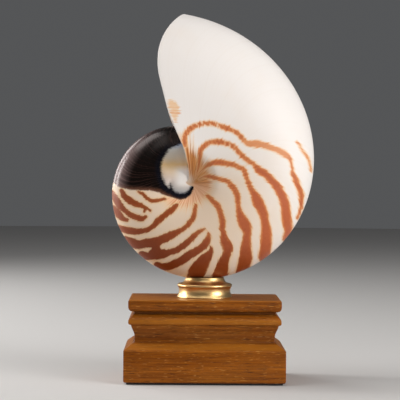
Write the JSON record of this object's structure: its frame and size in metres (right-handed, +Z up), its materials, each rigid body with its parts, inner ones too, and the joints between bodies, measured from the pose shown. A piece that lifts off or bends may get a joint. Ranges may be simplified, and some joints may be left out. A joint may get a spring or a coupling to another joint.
{
  "type": "nautilus shell on wooden stand",
  "caption": "Whole chambered nautilus shell with an open mouth, standing in a turned brass collar on a moulded hardwood base.",
  "frame": {"origin": "centre of the stand's underside", "axes": "+Z up, +X to the right in the picture, +Y away from the viewer, along the shell's coil axis"},
  "size_m": [0.1229, 0.0792, 0.2223],
  "materials": {
    "shell": "satin, cream with brown stripes",
    "brass": "satin turned",
    "wood": "satin lacquer",
    "steel": "plain",
    "felt": "matt"
  },
  "bodies": {
    "root": {"shell": "shell", "collar": "brass", "cap_board": "wood", "plinth": "wood", "fixing_screw": "steel", "felt_pad": "felt"}
  },
  "joints": []
}
